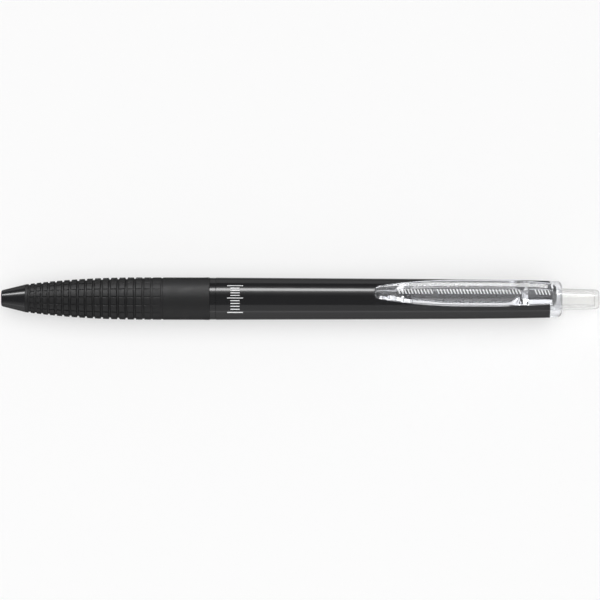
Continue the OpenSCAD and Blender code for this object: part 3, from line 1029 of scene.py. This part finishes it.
@dataclass
class ClickWork:
    """The push button, the cam sleeve and the rotor that turns its stroke into a latch."""

    button_r: float = 2.62
    bore_r: float = 1.37
    crown: float = 117.0
    rib_r: float = 3.15
    rib_w: float = 1.6
    rib_ends: Span = (119.5, 130.9)
    sleeve: Span = (111.0, 124.0)
    sleeve_r: Span = (3.3, 3.83)
    rotor: float = 108.7
    rotor_r: float = 2.55
    shoulder: float = 116.6
    pin_r: float = 1.15
    pin_end: float = 121.1

    def rib_half(self) -> float:
        """Half a rib's width as an angle: its sine is half the width over the radius."""
        return math.asin(self.rib_w / 2 / self.rib_r)

    def teeth(self, a: Array, depth: float, width: float) -> Array:
        """Depth of eight pointed teeth at each angle: it falls evenly to 0 at half the width."""
        return depth * np.clip(1 - np.abs(off_middle(a, 8, 0.0)) * 2.0 / width, 0, 1)

    def ribbed(self, name: str, line: Array, turn: Grids, step: Array, shift: Array) -> Piece:
        """A turned piece whose radius steps at ribs and whose ends may be toothed.

        Args:
            name: the piece's name.
            line: s, r rows.
            turn: the angles, and 1 where one lies in a rib.
            step: how far each row's radius steps at a rib, in millimetres.
            shift: how far each row moves along the pen at each angle.

        Returns:
            The piece.
        """
        a, rib = turn
        points = place(line[:, :1] + shift, line[:, 1:2] + step[:, None] * rib, a)
        return make_mesh(name, grid_skin(points, line[0, 1] > 0))

    def push_button(self) -> Piece:
        """The clear button: a long cup with four guide ribs and eight crown teeth.

        Returns:
            The piece.
        """
        a, rib = rib_turn(0.0, self.rib_half(), 160)
        r, first, last = self.button_r, *self.rib_ends
        rows = [
            [[self.crown, self.bore_r, 0], [self.crown, 2.45, 0.03], [118.6, r, 0.3]],
            [[first, r, 0], [first, r, 0], [last, r, 0], [last, r, 0], [134.42, r, 0.5]],
            [[142.5, 2.33, 0.15], [142.95, 2.24, 0.1], [143.27, 2.03, 0.12], [PEN_LEN, 1.72, 0.2]],
            [[PEN_LEN, 0, 0], [142.4, 0, 0], [142.4, 1.07, 0.2], [142.1, self.bore_r, 0.15]],
        ]
        line = rounded(np.concatenate(rows).astype(float))
        ribs = (line[:, 0] > first - 0.1) & (line[:, 0] < last + 0.1) & (line[:, 1] > r - 0.02)
        step = np.zeros(len(line))
        step[np.flatnonzero(ribs)[1:-1]] = self.rib_r - r
        front = (np.abs(line[:, :1] - self.crown) < 0.06).astype(float)
        shift = -front * self.teeth(a, 0.9, 0.52)
        piece = self.ribbed("push_button_cup", line, (a, rib), step, shift)
        return settle(piece, FROSTED_BUTTON, Body.BUTTON, Slot.CLEAR, "push_button")

    def cam_sleeve(self) -> Piece:
        """The fixed sleeve: four inner ribs whose front ends are cut to a slope.

        Returns:
            The piece.
        """
        half = math.asin(1.1 / 2.75)
        a, rib = rib_turn(np.pi / 4, half, 128)
        slope = 0.5 - off_middle(a, 4, np.pi / 4) / (2 * half)
        (front, back), (bore, skin), edge = self.sleeve, self.sleeve_r, self.sleeve[0] + 0.3
        line = [[front, skin], [back, skin], [back, bore], [edge, bore], [edge, bore]]
        line.append([front, bore])
        step = np.array([0, 0, -0.55, -0.55, 0, 0])
        shift = np.array([[0, 0, 0, 1, 1, 0]]).T * (slope * rib)
        piece = self.ribbed("cam_sleeve_ribs", np.array(line), (a, rib), step, shift)
        return settle(piece, WHITE_ACETAL, Body.BARREL, Slot.WHITE, "cam_sleeve")

    def cam_rotor(self) -> Piece:
        """The rotor: four ribs with sloped rear ends, notches for the teeth and a guide pin.

        Returns:
            The piece.
        """
        a, rib = rib_turn(0.0, self.rib_half(), 160)
        slope = 0.5 + off_middle(a, 4, 0.0) / (2 * self.rib_half())
        notch = self.teeth(a, 0.8, 0.7)
        start, r, back, pin, end = self.rotor, self.rotor_r, self.shoulder, self.pin_r, self.pin_end
        rows = [
            [[start, 0], [start, 2.25], [109.0, r], [112.4, r], [112.4, r], [back - 0.01, r]],
            [[back, r], [back, pin + 0.01], [back, pin], [120.8, pin], [end, 0.85], [end, 0]],
        ]
        step, notched, sloped = np.zeros(12), np.zeros((12, 1)), np.zeros((12, 1))
        step[4:6], notched[6:8], sloped[5] = 0.6, 1, 1
        shift = sloped * (rib * (0.3 - slope) - (1 - rib) * notch) - notched * notch
        line = np.concatenate(rows)
        piece = self.ribbed("cam_rotor_ribs", line, (a, rib), step, shift)
        return settle(piece, WHITE_ACETAL, Body.ROTOR, Slot.WHITE, "cam_rotor")

    def build(self) -> list[Piece]:
        """The three click parts."""
        return [self.push_button(), self.cam_sleeve(), self.cam_rotor()]


@dataclass
class ReturnSpring:
    """The coil spring round the refill's holder, closed at both ends."""

    mean_r: float = 2.125
    wire_r: float = 0.17
    coils: int = 12
    seat: float = 12.0
    flange: float = 30.0
    stroke: float = 6.6

    def build(self) -> Piece:
        """A wire carried along a helix whose first and last turns rise by one wire only.

        Returns:
            The piece.
        """
        n = self.coils
        t = np.linspace(0, n, n * 40 + 1)
        low, high = self.seat + self.wire_r + 0.02, self.flange - self.wire_r - 0.02
        closed = 2 * self.wire_r * 1.06
        s = np.interp(t, [0, 1, n - 1, n], [low, low + closed, high - closed, high])
        b = np.linspace(0, FULL_TURN, 14, endpoint=False)
        r = self.mean_r + self.wire_r * np.cos(b)[None]
        along = s[:, None] + self.wire_r * np.sin(b)[None]
        skin = capped(place(along, r, -FULL_TURN * t[:, None]))
        piece = make_mesh("coil_spring", skin, crease=50)
        settle(piece, SPRING_WIRE, Body.BARREL, Slot.SPRING, "return_spring")
        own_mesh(piece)
        return piece


@dataclass
class Refill:
    """The gel refill: tube, ink, grease, tail plug, holder, metal point and ball."""

    tube_r: float = 3.05
    bore_r: float = 2.35
    tube: float = 31.5
    tube_end: float = 107.0
    ink: float = 37.2
    ink_len: float = 50.0
    grease_len: float = 6.0
    plug: float = 103.0
    plug_end: float = 108.65
    vent_r: float = 0.6
    fit: float = 0.02
    holder: float = 10.0
    point_end: float = 14.0
    shank_r: float = 1.15
    channel_r: float = 0.7
    ball_r: float = 0.35
    ball_s: float = 2.55

    def ball(self) -> Piece:
        """The writing ball: half circles from pole to pole, s = centre - R cos u, r = R sin u.

        Returns:
            The piece.
        """
        u = np.linspace(0, np.pi, 33)
        line = curve(self.ball_s - self.ball_r * np.cos(u), self.ball_r * np.sin(u))
        piece = turn_piece("carbide_ball", [line], 48)
        return settle(piece, CARBIDE, Body.BALL, Slot.BALL, "writing_ball")

    def point(self) -> Piece:
        """The metal point: a lip turned in over the ball, a cone, a shank and the ink channel.

        Returns:
            The piece.
        """
        cup, end, r, bore = self.ball_r + 0.015, self.point_end, self.shank_r, self.channel_r
        u = np.linspace(np.arcsin(0.2 / cup), np.pi - 1.18, 9)
        seat = curve(self.ball_s + cup * np.cos(u), cup * np.sin(u))
        rows = [
            seat[-1:],
            [[2.41, 0.42, 0.02], [2.76, 0.49, 0.03], [3.6, 0.68, 0.1], [6.7, r, 0.2]],
            [[end, r, 0.05], [end, bore, 0.05], [6.7, bore, 0], [5.4, 0.2, 0]],
            seat[:-1],
        ]
        piece = turn_piece("metal_point", rows)
        return settle(piece, NICKEL_SILVER, Body.REFILL, Slot.TIP, "metal_tip")

    def filling(self, start: float, end: float) -> list:
        """The section of a plug of ink or grease: it reaches from the axis to the tube's bore."""
        r = self.bore_r - self.fit
        return [[start, 0, 0], [start, r, 0.05], [end, r, 0.05], [end, 0, 0]]

    def build(self) -> list[Piece]:
        """Every part of the refill.

        Returns:
            The pieces.
        """
        start, end, r, bore = self.tube, self.tube_end, self.tube_r, self.bore_r
        fit, full = bore - self.fit, self.ink + self.ink_len
        tail = full + self.grease_len
        tube = [
            [[start, bore, 0.05], [start, r - 0.15, 0.1], [start + 0.15, r, 0.1]],
            [[end, r, 0.1], [end, bore, 0.1]],
        ]
        holder = [
            [[self.holder, 1.17, 0.05], [self.holder, 1.5, 0.1], [10.8, 1.65, 0.2]],
            [[30, 1.65, 0.1], [30, 2.4, 0.15], [start, 2.4, 0.1], [start, fit, 0]],
            [[36.85, fit, 0.05], [37.15, 2.03, 0.05], [37.15, 0.8, 0.05]],
            [[14.02, 0.8, 0], [14.02, 1.17, 0]],
        ]
        ink, grease = self.filling(self.ink, full), self.filling(full, tail)
        made = [
            settle(turn_piece(name, rows), finish, Body.REFILL, slot, node)
            for name, rows, finish, slot, node in (
                ("refill_tube_wall", tube, REFILL_TUBE, Slot.REFILL, "refill_tube"),
                ("point_holder", holder, WHITE_ACETAL, Slot.WHITE, "tip_holder"),
                ("ink_filling", ink, GEL_INK, Slot.INK, "ink_column"),
                ("grease_follower", grease, FOLLOWER_GREASE, Slot.GREASE, "ink_follower"),
            )
        ]
        return [*made, self.point(), self.ball(), self.tail_plug()]

    def tail_plug(self) -> Piece:
        """The vented plug in the rear of the tube, which the rotor pushes on.

        Returns:
            The piece.
        """
        low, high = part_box("tail_plug")
        rim, end, r = (high.z - low.z) * 500, self.plug_end, self.bore_r - self.fit
        rows = [
            [[self.plug, self.vent_r, 0.05], [self.plug, 2.03, 0.1], [self.plug + 0.3, r, 0.1]],
            [[self.tube_end, r, 0], [self.tube_end, rim, 0.1], [end, rim, 0.2]],
            [end, self.vent_r, 0.05],
        ]
        piece = turn_piece("refill_tail_plug", rows)
        return settle(piece, WHITE_ACETAL, Body.REFILL, Slot.WHITE, "tail_plug")


# ---- camera and image points


@dataclass
class PhotoCamera:
    """The camera of the photograph, and what a pixel of it sees."""

    elevation: float = math.radians(77.7)
    distance: float = 1.0
    lens: float = 250.0
    sensor: float = 36.0
    aim_x: float = -0.06
    aim_below: float = 0.28
    roll: float = math.radians(0.11)
    shift_x: float = 0.0
    shift_y: float = 0.0

    def axes(self) -> tuple[Array, Array, Array]:
        """The camera's right, up and back directions: level and turned down, then rolled.

        Returns:
            The three directions, each of length 1.
        """
        e, r = self.elevation, self.roll
        right = np.array([1.0, 0.0, 0.0])
        up = np.array([0.0, math.sin(e), math.cos(e)])
        back = np.array([0.0, -math.cos(e), math.sin(e)])
        return right * math.cos(r) + up * math.sin(r), up * math.cos(r) - right * math.sin(r), back

    def eye(self) -> Array:
        """Where the camera stands, in metres.

        Returns:
            Its x, y and z.
        """
        _, up, back = self.axes()
        aim = np.array([self.aim_x, 0.0, AXIS_HEIGHT]) / 1000 - up * self.aim_below / 1000
        return aim + back * self.distance

    def build(self) -> None:
        """Makes the camera and gives it to the scene."""
        data = bpy.data.cameras.new("photo_camera")
        data.sensor_fit, data.lens, data.sensor_width = "AUTO", self.lens, self.sensor
        data.shift_x, data.shift_y = self.shift_x, self.shift_y
        data.clip_start, data.clip_end = 0.05, 20.0
        camera = bpy.data.objects.new("photo_camera", data)
        turn = Matrix(np.stack(self.axes(), -1).tolist()).to_4x4()
        camera.matrix_world = Matrix.Translation(Vector(self.eye())) @ turn
        bpy.context.scene.collection.objects.link(camera)
        bpy.context.scene.camera = camera

    def shows_at(self, points: Array) -> Array:
        """The pixels at which points show.

        Args:
            points: places in metres, x y z last.

        Returns:
            Their x and y in pixels.
        """
        right, up, back = self.axes()
        from_eye = points - self.eye()
        scale = PICTURE * self.lens / self.sensor / (-from_eye @ back)
        x = PICTURE / 2 - self.shift_x * PICTURE + from_eye @ right * scale
        y = PICTURE / 2 + self.shift_y * PICTURE - from_eye @ up * scale
        return np.stack([x, y], -1)

    def lands_on(self, carrier: Piece, point: str) -> tuple[float, float]:
        """The place on a finished piece that an image point sees, or the nearest to its ray.

        Args:
            carrier: the piece that carries what is placed.
            point: the image point's name.

        Returns:
            Its distance from the mouth and across towards the viewer, in millimetres.
        """
        (x, y), w = IMAGE_POINTS[point], PICTURE
        across, upwards = x - w / 2 + self.shift_x * w, w / 2 - y + self.shift_y * w
        inside = np.array([across, upwards, -w * self.lens / self.sensor])
        way = Vector(inside @ np.stack(self.axes())).normalized()
        tree = BVHTree.FromObject(carrier, bpy.context.evaluated_depsgraph_get())
        hit = tree.ray_cast(Vector(self.eye()), way)[0]
        if hit is None:
            points = mesh_points(carrier)
            off = points - self.eye()
            beside = np.linalg.norm(off - np.outer(off @ np.array(way), np.array(way)), axis=1)
            hit = Vector(points[int(np.argmin(beside))])
        return hit.x * 1000 + PEN_LEN / 2, -hit.y * 1000


def mesh_points(piece: Piece) -> Array:
    """The finished vertices of a piece, in the pen's frame.

    Args:
        piece: the piece.

    Returns:
        Its points in metres.
    """
    flat = np.zeros(len(piece.data.vertices) * 3, np.float32)
    piece.data.vertices.foreach_get("co", flat)
    return flat.reshape(-1, 3).astype(float)


def middle_of(points: Array) -> Array:
    """The middle of the box round some points."""
    return (points.min(0) + points.max(0)) / 2


@dataclass
class Prints:
    """Plain white marks where the pen carries print: bars on the clip, a scale on the barrel."""

    camera: PhotoCamera
    cap: ClipCap
    film: Span = (0.002, 0.012)
    clip_bars: int = 0

    def printed(
        self, name: str, middle: Grids, half: Grids, slant: float, radius: Callable[[Array], Array]
    ) -> Piece:
        """Bars as closed films on a surface round the pen's axis.

        Args:
            name: the print's name.
            middle: each bar's place along and across the pen.
            half: half a bar's size along and across the pen.
            slant: how far along the pen a bar leans for each millimetre across.
            radius: gives the surface's radius at a distance from the mouth.

        Returns:
            The print.
        """
        v, u = np.linspace(-1, 1, 7)[:, None], np.linspace(-1, 1, 3)
        w = middle[1][:, None, None] + half[1] * v + 0 * u
        s = middle[0][:, None, None] + half[0] * u - slant * half[1] * v
        r = radius(s)
        a = np.arcsin(np.clip(w / r, -1, 1))
        low, high = (place(s, r + lift, a) for lift in self.film)
        skins = []
        for under, over in zip(low, high):
            rim = np.concatenate([over, under[:, ::-1]], 1)
            first, last = (np.concatenate([e, e[:, ::-1]], 1) for e in (under[:1], under[-1:]))
            skins.append(grid_skin(np.concatenate([first, rim, last])[:, ::-1]))
        return settle(make_mesh(name, *skins, crease=40), WHITE_PRINT, Body.BARREL, Slot.WHITE)

    def on_clip(self, clip: Piece) -> Piece:
        """Slanted bars in three groups between the two image points of the clip's print.

        Args:
            clip: the finished clip.

        Returns:
            The print.
        """
        s0, w0 = self.camera.lands_on(clip, "clip_print_start")
        s1, w1 = self.camera.lands_on(clip, "clip_print_end")
        s = np.linspace(s0, s1, 47)
        share = (s - s0) / (s1 - s0)
        s = s[(share < 0.225) | ((share > 0.26) & (share < 0.82)) | (share > 0.895)]
        self.clip_bars = len(s)
        middle = s, np.full(len(s), (w0 + w1) / 2)
        return self.printed("clip_print", middle, (0.15, 0.56), -0.4, self.cap.top_r)

    def on_barrel(self, barrel: Piece) -> Piece:
        """A plain scale round the barrel, eleven fine marks and every fifth one long.

        Args:
            barrel: the finished rear barrel.

        Returns:
            The print.
        """
        middle, across = self.camera.lands_on(barrel, "barrel_print")
        rung = np.arange(11)
        long = np.where(rung % 5 == 0, 1.9, 1.1)[:, None, None]
        marks = np.full(11, middle), across + 0.62 * (rung - 5)
        return self.printed("barrel_print", marks, (long, 0.09), 0.0, self.cap.barrel.radius)


# ---- studio


class Role(Enum):
    """What a panel does: whether it lights, is mirrored, and is seen through clear pieces."""

    CARD = (False, True, True)
    SCRIM = (True, False, False)
    FILL = (True, True, True)
    BACKLIGHT = (False, False, True)


@dataclass(frozen=True)
class Panel:
    """A soft light panel over the pen: bearing from the viewer's side up and over, in degrees.

    glow is its radiance, where 1 is as bright as white card in full light.
    """

    name: str
    role: Role
    bearing: float
    distance: float
    along: float
    across: float
    glow: float
    offset: float = 0.0

    def build(self) -> None:
        """Makes the panel's area lamp with its long side along the pen, facing the pen."""
        data = bpy.data.lights.new(self.name, "AREA")
        data.shape, data.size, data.size_y = "RECTANGLE", self.along, self.across
        data.energy = self.glow * math.pi * self.along * self.across
        lamp = bpy.data.objects.new(self.name, data)
        b = math.radians(self.bearing)
        out, right = Vector((0.0, -math.cos(b), math.sin(b))), Vector((1.0, 0.0, 0.0))
        turn = Matrix((right, out.cross(right), out)).transposed().to_4x4()
        middle = out * self.distance + right * self.offset
        lamp.matrix_world = Matrix.Translation(middle) @ turn
        lamp.visible_diffuse, lamp.visible_glossy, lamp.visible_transmission = self.role.value
        bpy.context.scene.collection.objects.link(lamp)


@dataclass
class Studio:
    """The pale sheet, the panels and the dim room above them."""

    panels: tuple[Panel, ...] = (
        Panel("strip_behind", Role.CARD, 129.6, 1.0, 1.5, 0.24, 9.5, -0.15),
        Panel("strip_halo", Role.CARD, 128.1, 1.05, 1.6, 0.52, 1.5, -0.15),
        Panel("strip_haze", Role.CARD, 126.1, 1.1, 1.7, 1.0, 0.32, -0.15),
        Panel("fill_front", Role.FILL, 21.5, 1.1, 1.4, 0.88, 0.5),
        Panel("ceiling_scrim", Role.SCRIM, 88.0, 1.3, 2.4, 2.0, 1.45),
        Panel("backlight_low", Role.BACKLIGHT, 164.0, 1.2, 1.8, 0.7, 1.0),
        Panel("backlight_high", Role.BACKLIGHT, 95.0, 1.4, 2.4, 1.8, 1.05),
    )
    sheet_half: float = 3.0
    sheet_glow: float = 0.5
    room: float = 0.24
    horizon: float = 1.0
    horizon_span: Span = (0.07, 0.13)

    def build(self) -> None:
        """Makes the panels, the sheet and the room."""
        for panel in self.panels:
            panel.build()
        self.sheet()
        self.world()

    def sheet(self) -> None:
        """A matte white paper sheet that the pen lies on.

        It glows a little to the camera and in mirrors, so its shadow is pale.
        """
        h = self.sheet_half
        mesh = bpy.data.meshes.new("paper_sheet")
        mesh.from_pydata([(-h, -h, 0), (h, -h, 0), (h, h, 0), (-h, h, 0)], [], [(0, 1, 2, 3)])
        floor = bpy.data.objects.new("paper_sheet", mesh)
        bpy.context.scene.collection.objects.link(floor)
        made = bpy.data.materials.new("white_card_matte")
        nodes = Nodes(made)
        look = {"Base Color": linear("#FCFCFC"), "Roughness": 1.0, "Specular IOR Level": 0.0}
        card = nodes.add("BsdfPrincipled", look).outputs[0]
        path = nodes.add("LightPath").outputs
        share = path["Is Camera Ray"]
        for other, operation in (
            (path["Is Glossy Ray"], "MAXIMUM"),
            (path["Is Transmission Ray"], "MAXIMUM"),
            (self.sheet_glow, "MULTIPLY"),
        ):
            share = nodes.add("Math", {0: share, 1: other}, operation=operation).outputs[0]
        white = nodes.add("Emission", {"Color": linear("#FFFFFF")}).outputs[0]
        nodes.add("OutputMaterial", {"Surface": nodes.mix_shader(share, card, white)})
        mesh.materials.append(made)

    def world(self) -> None:
        """A room that is pale at the horizon and dim overhead, the same for every ray."""
        world = bpy.data.worlds.new("studio_room")
        bpy.context.scene.world = world
        nodes = Nodes(world)
        way = nodes.add("TexCoord").outputs["Generated"]
        height = nodes.add("SeparateXYZ", {0: way}).outputs["Z"]
        levels, smoothly = (self.horizon, self.room), {"interpolation_type": "SMOOTHSTEP"}
        level = nodes.remap(height, self.horizon_span, levels, **smoothly)
        glow = nodes.add("Background", {"Color": linear("#FFFFFF"), "Strength": level}).outputs[0]
        nodes.add("OutputWorld", {"Surface": glow})


# ---- reports


@dataclass
class PointReport:
    """Compares where things show with where the photograph has them."""

    prints: Prints
    grip: CushionGrip
    pieces: dict[str, Piece]

    def on_front(self, s: float, r: float, below: float = 0.0) -> Array:
        """Where a place on the side that faces the camera shows, or one turned down from it.

        Args:
            s: distance from the mouth.
            r: radius.
            below: how far it is turned down, in radians.

        Returns:
            Its x and y in pixels.
        """
        camera = self.prints.camera
        turn = np.array(math.pi / 2 - camera.elevation + below)
        return camera.shows_at(place(np.array(s), np.array(r), turn))

    def shown(self) -> dict[str, Array]:
        """Where each named thing shows, from the finished vertices of its piece.

        Returns:
            Its x and y in pixels for each name.
        """
        flat = {n: self.prints.camera.shows_at(mesh_points(o)) for n, o in self.pieces.items()}
        whole = np.concatenate(list(flat.values()))
        low, high = whole.min(0), whole.max(0)
        clip, button, marks = flat["clip_and_ring"], flat["push_button_cup"], flat["clip_print"]
        side_x = IMAGE_POINTS["clip_lower_side"][0]
        side = clip[np.abs(clip[:, 0] - side_x) < 5.5]
        rings, carrier, barrel = self.grip.ring_middles(), self.grip.carrier, self.prints.cap.barrel
        return {
            **{"left_edge": low, "right_edge": high, "top_edge": low, "bottom_edge": high},
            "nose_collar": self.on_front(carrier.nose_len, carrier.nose_r),
            "first_ring_groove": self.on_front(rings[0], 3.4),
            "last_ring_groove": self.on_front(rings[-1], 5.0),
            "grip_rear_end": self.on_front(carrier.grip_end, 5.1),
            "barrel_seam": self.on_front(barrel.start, 5.05),
            "barrel_print": middle_of(flat["barrel_print"]),
            "clip_tip": clip[int(np.argmin(clip[:, 0]))],
            "clip_print_start": middle_of(marks[: len(marks) // self.prints.clip_bars]),
            "clip_print_end": middle_of(marks[-len(marks) // self.prints.clip_bars :]),
            "clip_lower_side": np.array([side_x, side[:, 1].max()]),
            "ring_front_edge": self.on_front(barrel.end, barrel.rear_r, math.pi / 2),
            "button_end": np.array([button[:, 0].max(), middle_of(button)[1]]),
        }

    def write(self) -> None:
        """Works out how far in x and y each thing shows from its point; the result is not written
        anywhere.
        """
        shown = self.shown()
        for name, point in IMAGE_POINTS.items():
            both = zip(shown[name], point)
            off = (None if p is None else round(float(v - p), 2) for v, p in both)
            dict(zip(("dx", "dy"), off))


def main() -> None:
    """Builds the pen, its prints, the studio and the camera, in that order."""
    logging.basicConfig(level=logging.INFO, format="%(message)s")
    bpy.context.scene.view_settings.view_transform = "Standard"
    carrier = FrontBarrel()
    grip, barrel = CushionGrip(carrier), RearBarrel(carrier)
    cap = ClipCap(barrel)
    pieces = [part.build() for part in (carrier, grip, barrel, cap)]
    rear, clip = pieces[2:]
    pieces += [*ClickWork().build(), ReturnSpring().build(), *Refill().build()]
    prints = Prints(PhotoCamera(), cap)
    pieces += [prints.on_clip(clip), prints.on_barrel(rear)]
    Studio().build()
    prints.camera.build()
    PointReport(prints, grip, {o.name: o for o in pieces}).write()
    log.info("pen finished: %d pieces", len(pieces))


if __name__ == "__main__":
    main()
